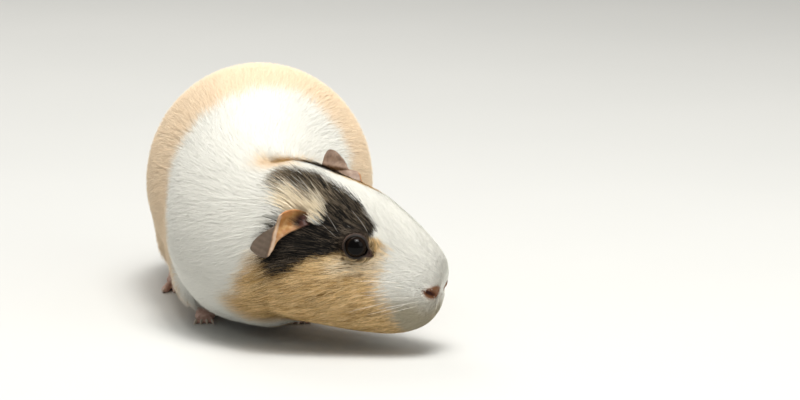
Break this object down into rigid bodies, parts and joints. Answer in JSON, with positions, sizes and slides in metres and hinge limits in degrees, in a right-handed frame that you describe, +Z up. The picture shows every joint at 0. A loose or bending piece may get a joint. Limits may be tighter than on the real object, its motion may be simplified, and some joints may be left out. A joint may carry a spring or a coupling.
{
  "type": "guinea pig",
  "caption": "Still, life-size guinea pig crouching on four feet, smooth-coated, with its head lowered and turned to its left.",
  "frame": {"origin": "on the ground, under the middle of the animal's bounding box", "axes": "+Z up; the trunk lies along Y with the rump towards +Y; +X is the animal's left, where its nose points"},
  "size_m": [0.129, 0.2098, 0.0974],
  "materials": {
    "white_coat": "soft short white fur",
    "buff_coat": "soft short buff fur",
    "ear_skin": "thin grey-brown ear skin with fine down",
    "eye": "wet gloss black",
    "foot_skin": "pink bare skin",
    "claw": "pale horn"
  },
  "bodies": {
    "root": {"head": "buff_coat", "neck": "white_coat", "trunk": "white_coat", "thigh_left": "white_coat", "thigh_right": "white_coat", "foreleg_left": "white_coat", "foreleg_right": "white_coat", "ear_left": "ear_skin", "ear_right": "ear_skin", "eye_left": "eye", "eye_right": "eye", "hindfoot_left": "foot_skin", "hindfoot_right": "foot_skin", "forefoot_left": "foot_skin", "forefoot_right": "foot_skin", "claw_hind_left_1": "claw", "claw_hind_left_2": "claw", "claw_hind_left_3": "claw", "claw_hind_right_1": "claw", "claw_hind_right_2": "claw", "claw_hind_right_3": "claw", "claw_fore_left_1": "claw", "claw_fore_left_2": "claw", "claw_fore_left_3": "claw", "claw_fore_left_4": "claw", "claw_fore_right_1": "claw", "claw_fore_right_2": "claw", "claw_fore_right_3": "claw", "claw_fore_right_4": "claw"}
  },
  "joints": []
}
